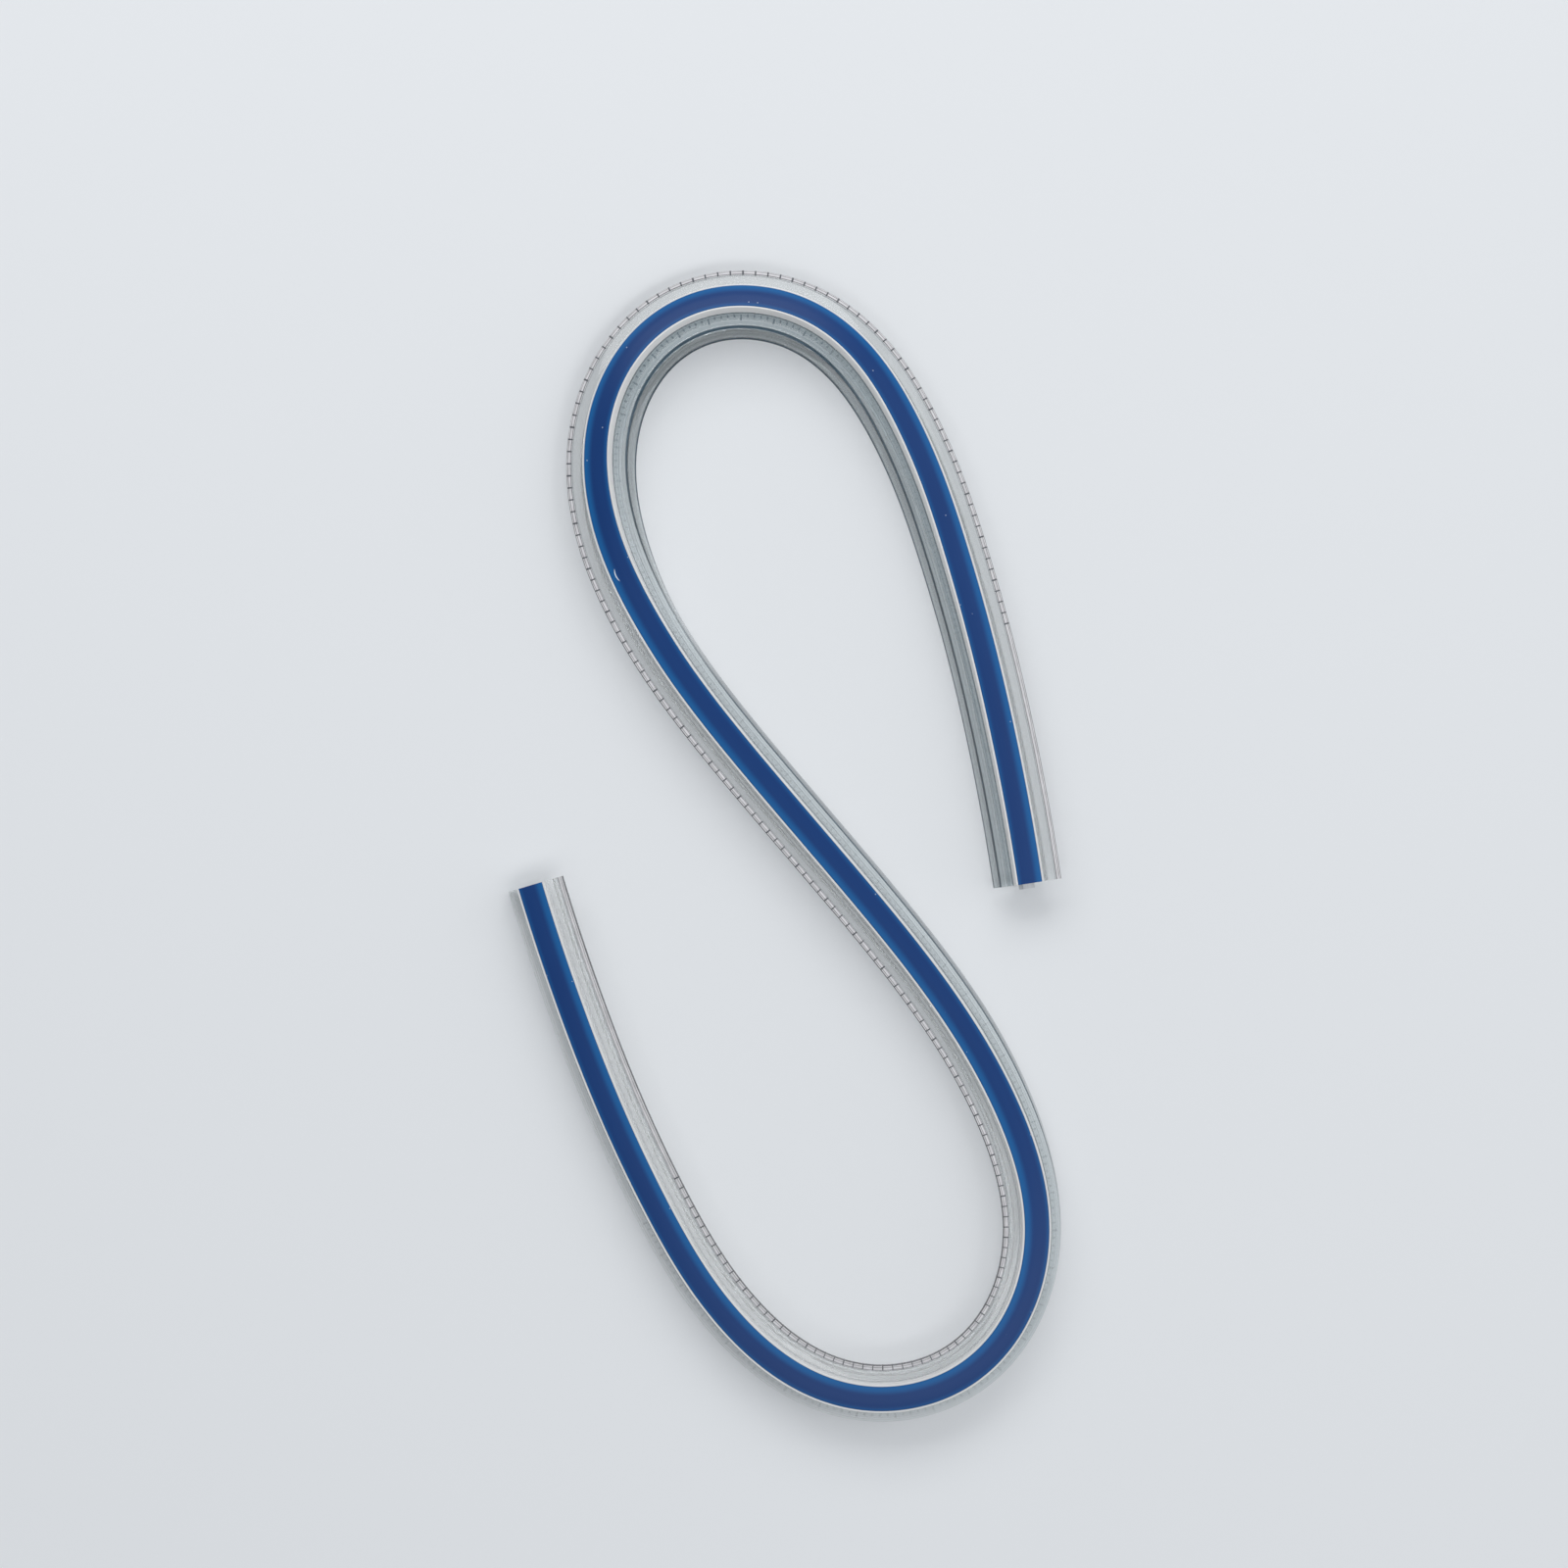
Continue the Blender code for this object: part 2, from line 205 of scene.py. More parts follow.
def stripOutline():
    s = section
    return roundedOutline([
        (-s["strip"], s["stripBottom"], 0.03, 1),
        (s["strip"], s["stripBottom"], 0.03, 1),
        (s["strip"], s["top"] - s["stripEdgeDrop"], 0.14, 5),
        (0, s["top"] + s["stripCrown"], 5, 6),
        (-s["strip"], s["top"] - s["stripEdgeDrop"], 0.14, 5),
    ])


def rolledPoint(point, roll):
    across, up = point
    return (
        across * math.cos(roll) + up * math.sin(roll),
        up * math.cos(roll) - across * math.sin(roll),
    )


sleeveSection = sleeveOutline()


def coreHeight(station):
    roll = rollAt(station)
    return -min(rolledPoint(point, roll)[1] for point in sleeveSection) * mm


# Where a section point stands in the world at a station of the route
def sectionPlace(station, point):
    heading = headingAt(station)
    across, up = rolledPoint(point, rollAt(station))
    right = Vector((math.sin(heading), -math.cos(heading), 0))
    place = routePoint(station) + right * across * mm
    place.z = coreHeight(station) + up * mm
    return place


# Zone 1 runs from the first end to the middle of link 2, and so on to the second end
def zoneSpan(zone):
    link = route["length"] / route["links"]
    start = 0 if zone == 1 else (zone - 0.5) * link
    end = route["length"] if zone == lastZone else (zone + 0.5) * link
    return start, end


def ringStations(start, end):
    count = max(2, round((end - start) / route["ringGap"]))
    inner = [start + (end - start) * i / count for i in range(1, count)]
    return [start, start + route["seamGap"]] + inner + [end - route["seamGap"], end]


# Two UV maps give the materials a face's place: the map route its station and its run round the
# outline, and the map section its point (across, up). These are their scales.
uvScale = {"station": 10, "run": 0.01, "section": 0.1, "sectionMiddle": 0.5}


def stationUv(station):
    return station * uvScale["station"]


def sectionWidth(width):
    return width * uvScale["section"]


def sectionUv(distance):
    return sectionWidth(distance) + uvScale["sectionMiddle"]


def newShell():
    shell = bmesh.new()
    uvMap = shell.loops.layers.uv.new("route")
    sectionMap = shell.loops.layers.uv.new("section")
    return shell, uvMap, sectionMap


# Adds an outline swept through the stations to a bmesh, and returns its two end loops
def sweptShell(shell, outline, stations, uvMap, sectionMap, inward=False):
    rings = [[shell.verts.new(sectionPlace(s, point)) for point in outline] for s in stations]
    runs = [0]
    for i in range(len(outline)):
        a, b = Vector(outline[i]), Vector(outline[(i + 1) % len(outline)])
        runs.append(runs[-1] + (b - a).length)
    for r in range(len(rings) - 1):
        for i in range(len(outline)):
            j = (i + 1) % len(outline)
            corners = [(r, i), (r, j), (r + 1, j), (r + 1, i)]
            if not inward:
                corners.reverse()
            face = shell.faces.new([rings[a][b] for a, b in corners])
            face.smooth = True
            for loop, (a, b) in zip(face.loops, corners):
                run = runs[i + 1] if b == j else runs[i]
                loop[uvMap].uv = (stationUv(stations[a]), run * uvScale["run"])
                loop[sectionMap].uv = (sectionUv(outline[b][0]), sectionUv(outline[b][1]))
    return rings[0], rings[-1]


# Closes a cut end, with a hole in it where there is a second outline
def capEnd(shell, loops, uvMap, sectionMap, station, outlines, cutIndex=0):
    edges = []
    for loop in loops:
        for i, vert in enumerate(loop):
            edges.append(shell.edges.get((vert, loop[(i + 1) % len(loop)])))
    made = bmesh.ops.triangle_fill(shell, use_beauty=True, edges=edges)["geom"]
    spots = {v: p for loop, outline in zip(loops, outlines) for v, p in zip(loop, outline)}
    for face in [g for g in made if isinstance(g, bmesh.types.BMFace)]:
        face.smooth = False
        face.material_index = cutIndex
        for loop in face.loops:
            across, up = spots[loop.vert]
            loop[uvMap].uv = (
                stationUv(station) + up * uvScale["run"], across * uvScale["run"]
            )
            loop[sectionMap].uv = (sectionUv(across), sectionUv(up))


sharpAngles = {"plastic": 40, "ink": 30}   # degrees


def finishMesh(name, shell, material, sharpAngle):
    bmesh.ops.recalc_face_normals(shell, faces=shell.faces)
    mesh = bpy.data.meshes.new(name)
    shell.to_mesh(mesh)
    shell.free()
    mesh.set_sharp_from_angle(angle=math.radians(sharpAngle))
    mesh.materials.append(material)
    obj = bpy.data.objects.new(name, mesh)
    bpy.context.scene.collection.objects.link(obj)
    return obj


# Bakes the zone's placement into its mesh. How far its rims reach along the route from its joint is
# worked out, but nothing uses it.
def blendOverJoint(piece, zone):
    start, end = zoneSpan(zone)
    joint = zone * route["length"] / route["links"]
    heading = headingAt(joint)
    along = Vector((math.cos(heading), math.sin(heading), 0))
    centre = routePoint(joint)
    reaches = [
        abs((sectionPlace(station, point) - centre).dot(along))
        for station in (start, end) for point in sleeveSection
    ]
    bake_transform(piece)


# One zone of one extruded piece, open at its seams and closed at the ruler's cut ends
def sweptZone(name, zone, outlines, material, nodeName, stub=0, cutMaterial=None):
    start, end = zoneSpan(zone)
    if zone == 1:
        start -= stub
    stations = ringStations(start, end)
    shell, uvMap, sectionMap = newShell()
    cutIndex = 1 if cutMaterial and zone in (1, lastZone) else 0
    firstLoops, lastLoops = [], []
    for i, outline in enumerate(outlines):
        first, final = sweptShell(shell, outline, stations, uvMap, sectionMap, inward=i > 0)
        firstLoops.append(first)
        lastLoops.append(final)
    if zone == 1:
        capEnd(shell, firstLoops, uvMap, sectionMap, start, outlines, cutIndex)
    if zone == lastZone:
        capEnd(shell, lastLoops, uvMap, sectionMap, end, outlines, cutIndex)
    piece = finishMesh(f"{name}{zone:02d}", shell, material, sharpAngles["plastic"])
    if cutIndex:
        piece.data.materials.append(cutMaterial)
    blendOverJoint(piece, zone)
    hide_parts(f"{nodeName}_{zone:02d}", f"{nodeName}_{zone + 1:02d}")


# Node groups for effects that several materials share


def newGroup(name, inputs, outputs):
    group = bpy.data.node_groups.new(name, "ShaderNodeTree")
    for side, socketNames in (("INPUT", inputs), ("OUTPUT", outputs)):
        for socketName in socketNames:
            group.interface.new_socket(socketName, in_out=side, socket_type="NodeSocketFloat")
    return group, group.nodes.new("NodeGroupInput"), group.nodes.new("NodeGroupOutput")


def mathNode(tree, operation, a, b=None):
    node = tree.nodes.new("ShaderNodeMath")
    node.operation = operation
    for socket, value in zip(node.inputs, (a, b)):
        if value is None:
            continue
        if isinstance(value, (int, float)):
            socket.default_value = value
        else:
            tree.links.new(value, socket)
    return node.outputs[0]


def awayFrom(tree, value, place):
    return mathNode(tree, "ABSOLUTE", mathNode(tree, "SUBTRACT", value, place))


def addedSquares(tree, a, b):
    return mathNode(
        tree, "ADD", mathNode(tree, "MULTIPLY", a, a), mathNode(tree, "MULTIPLY", b, b)
    )


def rangeNode(tree, value, fromMin, fromMax, toMin, toMax):
    node = tree.nodes.new("ShaderNodeMapRange")
    node.interpolation_type = "SMOOTHSTEP"
    node.inputs["From Min"].default_value = fromMin
    node.inputs["From Max"].default_value = fromMax
    node.inputs["To Min"].default_value = toMin
    node.inputs["To Max"].default_value = toMax
    tree.links.new(value, node.inputs["Value"])
    return node.outputs["Result"]


def uvParts(tree, layer):
    node = tree.nodes.new("ShaderNodeUVMap")
    node.uv_map = layer
    parts = tree.nodes.new("ShaderNodeSeparateXYZ")
    tree.links.new(node.outputs["UV"], parts.inputs[0])
    return parts.outputs[0], parts.outputs[1]


def combined(tree, x, y):
    node = tree.nodes.new("ShaderNodeCombineXYZ")
    tree.links.new(x, node.inputs[0])
    tree.links.new(y, node.inputs[1])
    return node.outputs[0]


def noiseNode(tree, vector, noise):
    node = tree.nodes.new("ShaderNodeTexNoise")
    node.inputs["Scale"].default_value = 1.0
    node.inputs["Detail"].default_value = noise["detail"]
    node.inputs["Roughness"].default_value = noise["roughness"]
    tree.links.new(vector, node.inputs["Vector"])
    return node.outputs["Fac"]


dieLines = {"detail": 3.0, "roughness": 0.6}
plasticWaves = {"along": 5.0, "across": 30.0, "detail": 2.0, "roughness": 0.5}


# Fine lines along the ruler, as a die leaves them, and slow waves in the plastic
def makeExtrusionGroup():
    group, entry, leave = newGroup("extrusionLines", ["Along", "Across"], ["Lines", "Waves"])
    u, v = uvParts(group, "route")
    lineVector = combined(
        group, mathNode(group, "MULTIPLY", u, entry.outputs["Along"]),
        mathNode(group, "MULTIPLY", v, entry.outputs["Across"]),
    )
    group.links.new(noiseNode(group, lineVector, dieLines), leave.inputs["Lines"])
    waveVector = combined(
        group, mathNode(group, "MULTIPLY", u, plasticWaves["along"]),
        mathNode(group, "MULTIPLY", v, plasticWaves["across"]),
    )
    group.links.new(noiseNode(group, waveVector, plasticWaves), leave.inputs["Waves"])
    return group


# Specks of dust: a sparse scatter of small round dots
def makeSpeckGroup():
    group, entry, leave = newGroup("dustSpecks", ["Scale", "Size", "Share"], ["Specks"])
    u, v = uvParts(group, "route")
    cells = group.nodes.new("ShaderNodeTexVoronoi")
    cells.feature = "F1"
    group.links.new(combined(group, u, v), cells.inputs["Vector"])
    group.links.new(entry.outputs["Scale"], cells.inputs["Scale"])
    near = mathNode(group, "LESS_THAN", cells.outputs["Distance"], entry.outputs["Size"])
    picked = group.nodes.new("ShaderNodeSeparateColor")
    group.links.new(cells.outputs["Color"], picked.inputs[0])
    chosen = mathNode(group, "LESS_THAN", picked.outputs[0], entry.outputs["Share"])
    group.links.new(mathNode(group, "MULTIPLY", near, chosen), leave.inputs["Specks"])
    return group


extrusionLines = makeExtrusionGroup()
dustSpecks = makeSpeckGroup()

# Materials. In their settings, grain and dust are the values of the two groups, lineRange is the
# part of the lines' values over which the roughness changes, and depths of bumps are in metres.


def placeGroup(tree, group, values):
    node = tree.nodes.new("ShaderNodeGroup")
    node.node_tree = group
    for name, value in values.items():
        node.inputs[name].default_value = value
    return node


def newMaterial(name):
    material = bpy.data.materials.new(name)
    material.use_nodes = True
    return material, material.node_tree, material.node_tree.nodes["Principled BSDF"]


def mixColour(tree, factor, a, b):
    node = tree.nodes.new("ShaderNodeMix")
    node.data_type = "RGBA"
    for socket, value in ((node.inputs[6], a), (node.inputs[7], b)):
        if isinstance(value, tuple):
            socket.default_value = (*value, 1)
        else:
            tree.links.new(value, socket)
    tree.links.new(factor, node.inputs[0])
    return node.outputs[2]


def roughByLines(tree, shader, lines, settings):
    rough = rangeNode(tree, lines, *settings["lineRange"], *settings["rough"])
    tree.links.new(rough, shader.inputs["Roughness"])


def bumpInto(tree, shader, height, distance):
    node = tree.nodes.new("ShaderNodeBump")
    node.inputs["Distance"].default_value = distance
    tree.links.new(height, node.inputs["Height"])
    tree.links.new(node.outputs["Normal"], shader.inputs["Normal"])


clearPvc = {
    "grain": {"Along": 0.7, "Across": 260.0},
    "dust": {"Scale": 55.0, "Size": 0.035, "Share": 0.25}, "dustColour": (0.9, 0.9, 0.9),
    "lineRange": (0.35, 0.75), "rough": (0.035, 0.08), "lineDepth": 0.0000012,
    "ior": 1.46, "haze": 0.12, "lightShare": 0.9,
}
# The thin flange, painted paler near the channel out to a set distance across: painted light
# lifting the ridge's shade there. The solid pencil side, painted paler after a station: painted
# light lifting its shade on the far leg. One gives way to the other between deepAt and thinAt
# across.
sleeveTints = {
    "flange": (0.89, 0.9, 0.9), "paintedLitBeside": (0.975, 0.985, 0.98), "paintedLitBesideFrom": 3.0, "paintedLitBesideTo": 3.7,
    "deep": (0.82, 0.875, 0.89), "paintedLitTint": (0.97, 0.985, 0.985), "paintedLitFrom": 0.26, "paintedLitBy": 0.31,
    "deepAt": -3.0, "thinAt": 3.0, "deepShares": (0.9, 0.15),
}
# Dark streaks beside the channel on the pencil side. They fade before a station, and little of
# them is left after it.
streak = {
    "colour": (0.25, 0.32, 0.35), "lineRange": (0.42, 0.6), "shares": (0.4, 0.9),
    "across": -2.5, "full": 0.2, "fades": 0.65, "elsewhere": 0.1,
    "to": 0.15, "fadeLength": 0.035, "after": 0.2,
}
# Painted shade: dark lines painted along long corners of the section, where refraction and contact
# shade make them show dark: (across, up, radius, darkness)
cornerShadeColour = (0.012, 0.03, 0.05)
cornerShadeLines = [
    (-3.83, 0.06, 0.42, 1.0), (-4.35, -2.50, 0.8, 1.0), (3.93, 1.62, 0.11, 0.45),
    (4.77, 1.66, 0.14, 0.97), (4.72, 1.10, 0.16, 0.7), (-2.99, 0.88, 0.06, 0.6),
    (-2.28, 1.30, 0.1, 0.7), (2.34, 1.38, 0.07, 0.3), (-3.36, 0.65, 0.04, 0.4),
]
# More painted shade lines on the S's diagonal, where the section stands upright
diagonalShadeLines = [(-3.68, 0.26, 0.36, 1.0), (-4.15, -1.2, 1.3, 0.95)]
diagonal = {"middle": 0.207, "full": 0.035, "fades": 0.06}   # a station, and distances from it


def sleeveTint(tree, across, station):
    t = sleeveTints
    deepness = rangeNode(
        tree, across, sectionUv(t["deepAt"]), sectionUv(t["thinAt"]), *t["deepShares"]
    )
    # Painted light: the pencil side is painted paler after a station
    paintedLitHere = rangeNode(tree, station, stationUv(t["paintedLitFrom"]), stationUv(t["paintedLitBy"]), 0, 1)
    deep = mixColour(tree, paintedLitHere, t["deep"], t["paintedLitTint"])
    # Painted light: the flange is painted paler beside the channel, where the ridge's shade falls
    paintedLitBesideHere = rangeNode(
        tree, across, sectionUv(t["paintedLitBesideFrom"]), sectionUv(t["paintedLitBesideTo"]), 1, 0
    )
    flange = mixColour(tree, paintedLitBesideHere, t["flange"], t["paintedLitBeside"])
    return mixColour(tree, deepness, flange, deep)


def streakShare(tree, lines, across, station):
    streaks = rangeNode(tree, lines, *streak["lineRange"], *streak["shares"])
    besideChannel = rangeNode(
        tree, awayFrom(tree, across, sectionUv(streak["across"])),
        sectionWidth(streak["full"]), sectionWidth(streak["fades"]), 1, streak["elsewhere"],
    )
    upToStation = rangeNode(
        tree, station, stationUv(streak["to"] - streak["fadeLength"]), stationUv(streak["to"]),
        1, streak["after"],
    )
    return mathNode(
        tree, "MULTIPLY", mathNode(tree, "MULTIPLY", streaks, besideChannel), upToStation
    )


# How close a point of the section is to one of these corners, as the darkness of its painted shade
# line
def nearCorners(tree, across, up, corners):
    dark = None
    for lineAcross, lineUp, radius, darkness in corners:
        offAcross = mathNode(tree, "SUBTRACT", across, sectionUv(lineAcross))
        offUp = mathNode(tree, "SUBTRACT", up, sectionUv(lineUp))
        away = mathNode(tree, "SQRT", addedSquares(tree, offAcross, offUp))
        near = rangeNode(
            tree, away, sectionWidth(radius / 2), sectionWidth(radius), darkness, 0
        )
        dark = near if dark is None else mathNode(tree, "MAXIMUM", dark, near)
    return dark


# Painted shade: the dark lines along the section's corners, more of them on the diagonal
def paintedCornerShade(tree, across, up, station):
    onDiagonal = rangeNode(
        tree, awayFrom(tree, station, stationUv(diagonal["middle"])),
        stationUv(diagonal["full"]), stationUv(diagonal["fades"]), 1, 0,
    )
    return mathNode(
        tree, "MAXIMUM", nearCorners(tree, across, up, cornerShadeLines),
        mathNode(tree, "MULTIPLY", nearCorners(tree, across, up, diagonalShadeLines), onDiagonal),
    )


# Light falls through the sleeve onto what lies under it
def letLightThrough(tree, shader):
    path = tree.nodes.new("ShaderNodeLightPath")
    lit = mathNode(
        tree, "MAXIMUM", path.outputs["Is Shadow Ray"], path.outputs["Is Diffuse Ray"]
    )
    passed = mathNode(tree, "MULTIPLY", lit, clearPvc["lightShare"])
    tree.links.new(mathNode(tree, "SUBTRACT", 1.0, passed), shader.inputs["Alpha"])


def makeClearPvc():
    material, tree, shader = newMaterial("clearPvc")
    lines = placeGroup(tree, extrusionLines, clearPvc["grain"]).outputs["Lines"]
    specks = placeGroup(tree, dustSpecks, clearPvc["dust"]).outputs["Specks"]
    across, up = uvParts(tree, "section")
    station = uvParts(tree, "route")[0]
    tint = sleeveTint(tree, across, station)
    streaks = streakShare(tree, lines, across, station)
    streaked = mixColour(tree, streaks, tint, streak["colour"])
    dusty = mixColour(tree, specks, streaked, clearPvc["dustColour"])
    # Painted shade: dark lines along the section's corners, mixed into the colour
    dark = paintedCornerShade(tree, across, up, station)
    tree.links.new(mixColour(tree, dark, dusty, cornerShadeColour), shader.inputs["Base Color"])
    roughByLines(tree, shader, lines, clearPvc)
    shader.inputs["Transmission Weight"].default_value = 1 - clearPvc["haze"]
    shader.inputs["IOR"].default_value = clearPvc["ior"]
    letLightThrough(tree, shader)
    bumpInto(tree, shader, lines, clearPvc["lineDepth"])
    return material


# The cut ends of the sleeve are frosted by the blade
cutPvc = {
    "grain": {"Along": 300.0, "Across": 60.0}, "colour": (0.86, 0.88, 0.88),
    "lineRange": (0.3, 0.7), "rough": (0.45, 0.65), "lineDepth": 0.00002, "transmission": 0.45,
}


def makeCutPvc():
    material, tree, shader = newMaterial("cutPvc")
    strokes = placeGroup(tree, extrusionLines, cutPvc["grain"]).outputs["Lines"]
    colour = mixColour(tree, strokes, cutPvc["colour"], sleeveTints["deep"])
    tree.links.new(colour, shader.inputs["Base Color"])
    roughByLines(tree, shader, strokes, cutPvc)
    shader.inputs["Transmission Weight"].default_value = cutPvc["transmission"]
    shader.inputs["IOR"].default_value = clearPvc["ior"]
    bumpInto(tree, shader, strokes, cutPvc["lineDepth"])
    return material


whitePvc = {
    "grain": {"Along": 2.0, "Across": 700.0}, "colour": (0.78, 0.79, 0.80),
    "dull": (0.66, 0.66, 0.65),
    "dust": {"Scale": 70.0, "Size": 0.06, "Share": 0.12}, "dustColour": (0.3, 0.28, 0.26),
    "lineRange": (0.3, 0.7), "rough": (0.34, 0.5), "lineDepth": 0.00001,
}


def makeWhitePvc():
    material, tree, shader = newMaterial("whitePvc")
    grain = placeGroup(tree, extrusionLines, whitePvc["grain"])
    specks = placeGroup(tree, dustSpecks, whitePvc["dust"]).outputs["Specks"]
    base = mixColour(tree, grain.outputs["Waves"], whitePvc["colour"], whitePvc["dull"])
    dusty = mixColour(tree, specks, base, whitePvc["dustColour"])
    tree.links.new(dusty, shader.inputs["Base Color"])
    roughByLines(tree, shader, grain.outputs["Lines"], whitePvc)
    bumpInto(tree, shader, grain.outputs["Lines"], whitePvc["lineDepth"])
    return material


# Painted light: the strip is painted lighter near its edges, a painted glow where light comes
# through them, from a set distance out to either side of its middle
bluePvc = {
    "grain": {"Along": 1.6, "Across": 800.0}, "deep": (0.0015, 0.033, 0.155),
    "light": (0.0025, 0.045, 0.19), "edge": (0.004, 0.105, 0.32), "edgeFrom": 0.7, "middle": -0.3,
    "dust": {"Scale": 62.0, "Size": 0.05, "Share": 0.4}, "dustColour": (0.42, 0.5, 0.62),
    "lineRange": (0.3, 0.75), "rough": (0.34, 0.46), "lineDepth": 0.00001, "shine": 0.28,
}
# A short pale nick in the strip, whose two ends bend aside
nick = {
    "station": 0.1472, "across": 1.0, "length": 0.0009, "width": 0.075, "bend": 0.2,
    "colour": (0.75, 0.8, 0.85),
}


def insideNick(tree, across, station):
    offAlong = mathNode(tree, "SUBTRACT", station, stationUv(nick["station"]))
    offAcross = mathNode(tree, "SUBTRACT", across, sectionUv(nick["across"]))
    alongShare = mathNode(tree, "DIVIDE", offAlong, stationUv(nick["length"]))
    squared = mathNode(tree, "MULTIPLY", alongShare, alongShare)
    bent = mathNode(tree, "MULTIPLY", squared, sectionWidth(nick["bend"]))
    acrossShare = mathNode(
        tree, "DIVIDE", mathNode(tree, "ADD", offAcross, bent), sectionWidth(nick["width"])
    )
    return mathNode(tree, "LESS_THAN", addedSquares(tree, alongShare, acrossShare), 1.0)


def makeBluePvc():
    material, tree, shader = newMaterial("bluePvc")
    grain = placeGroup(tree, extrusionLines, bluePvc["grain"])
    specks = placeGroup(tree, dustSpecks, bluePvc["dust"]).outputs["Specks"]
    across = uvParts(tree, "section")[0]
    station = uvParts(tree, "route")[0]
    # Painted glow along both edges of the strip
    edge = rangeNode(
        tree, awayFrom(tree, across, sectionUv(bluePvc["middle"])),
        sectionWidth(bluePvc["edgeFrom"]), sectionWidth(section["strip"]), 0, 1,
    )
    body = mixColour(tree, grain.outputs["Waves"], bluePvc["deep"], bluePvc["light"])
    edged = mixColour(tree, edge, body, bluePvc["edge"])
    dusty = mixColour(tree, specks, edged, bluePvc["dustColour"])
    nicked = mixColour(tree, insideNick(tree, across, station), dusty, nick["colour"])
    tree.links.new(nicked, shader.inputs["Base Color"])
    roughByLines(tree, shader, grain.outputs["Lines"], bluePvc)
    shader.inputs["Specular IOR Level"].default_value = bluePvc["shine"]
    bumpInto(tree, shader, grain.outputs["Lines"], bluePvc["lineDepth"])
    return material


leadMetal = {
    "grain": {"Along": 6.0, "Across": 500.0}, "colour": (0.42, 0.43, 0.45),
    "patches": (0.70, 0.71, 0.73), "lineRange": (0.3, 0.7), "rough": (0.42, 0.65),
    "bumps": "Waves", "bumpDepth": 0.00004,
}
springSteel = {
    "grain": {"Along": 3.0, "Across": 1500.0}, "colour": (0.58, 0.59, 0.61),
    "patches": (0.36, 0.34, 0.32), "lineRange": (0.3, 0.7), "rough": (0.22, 0.38),
    "bumps": "Lines", "bumpDepth": 0.000005,
}


def makeMetal(name, metal):
    material, tree, shader = newMaterial(name)
    grain = placeGroup(tree, extrusionLines, metal["grain"])
    colour = mixColour(tree, grain.outputs["Waves"], metal["colour"], metal["patches"])
    tree.links.new(colour, shader.inputs["Base Color"])
    shader.inputs["Metallic"].default_value = 1.0
    roughByLines(tree, shader, grain.outputs["Lines"], metal)
    bumpInto(tree, shader, grain.outputs[metal["bumps"]], metal["bumpDepth"])
    return material


# What all printed ink has: wear that thins its cover here and there. An ink that lists fineLines
# also gets fine dark lines along it, full up to fineFull from their middle
inkCoat = {
    "grain": {"Along": 40.0, "Across": 300.0}, "lineRange": (0.35, 0.75), "wear": 0.15,
    "rough": 0.5, "lineDepth": 0.000004,
    "fineColour": (0.10, 0.085, 0.10), "fineShare": 0.85, "fineFull": 0.02, "fineFades": 0.05,
    "clearFull": 0.012, "clearFades": 0.03, "faintShare": 0.12,
}
blackInk = {"dark": (0.035, 0.04, 0.05), "worn": (0.16, 0.17, 0.19), "cover": 0.85}
# Clear to see round one station, and faint elsewhere
fadedInk = {"dark": (0.09, 0.13, 0.16), "worn": (0.18, 0.23, 0.26), "cover": 0.48,
            "clearRound": 0.103}
# Painted highlight: the pale band along the ink edge, where its bevel catches the light, painted as
# pale ink
rimHighlightInk = {"dark": (0.78, 0.77, 0.79), "worn": (0.66, 0.66, 0.68), "cover": 0.82,
             "fineLines": (4.08, 4.45, 4.70)}


def makeInk(name, ink):
    material, tree, shader = newMaterial(name)
    lines = placeGroup(tree, extrusionLines, inkCoat["grain"]).outputs["Lines"]
    colour = mixColour(tree, lines, ink["dark"], ink["worn"])
    across = uvParts(tree, "section")[0]
    for lineAcross in ink.get("fineLines", ()):
        onLine = rangeNode(
            tree, awayFrom(tree, across, sectionUv(lineAcross)),
            sectionWidth(inkCoat["fineFull"]), sectionWidth(inkCoat["fineFades"]),
            inkCoat["fineShare"], 0,
        )
        colour = mixColour(tree, onLine, colour, inkCoat["fineColour"])
    tree.links.new(colour, shader.inputs["Base Color"])
    shader.inputs["Roughness"].default_value = inkCoat["rough"]
    most, least = min(ink["cover"] + inkCoat["wear"], 1), ink["cover"] - inkCoat["wear"]
    cover = rangeNode(tree, lines, *inkCoat["lineRange"], most, least)
    if "clearRound" in ink:
        away = awayFrom(tree, uvParts(tree, "route")[0], stationUv(ink["clearRound"]))
        clearness = rangeNode(
            tree, away, stationUv(inkCoat["clearFull"]), stationUv(inkCoat["clearFades"]),
            1, inkCoat["faintShare"],
        )
        cover = mathNode(tree, "MULTIPLY", cover, clearness)
    tree.links.new(cover, shader.inputs["Alpha"])
    bumpInto(tree, shader, lines, inkCoat["lineDepth"])
    return material


materials = {
    "clear": makeClearPvc(),
    "cut": makeCutPvc(),
    "white": makeWhitePvc(),
    "blue": makeBluePvc(),
    "lead": makeMetal("leadMetal", leadMetal),
    "steel": makeMetal("springSteel", springSteel),
    "inkMarks": makeInk("blackInk", blackInk),
    "pencilMarks": makeInk("fadedInk", fadedInk),
    "rim": makeInk("rimHighlightInk", rimHighlightInk),
}
print("materials made")

# Extruded pieces, zone by zone

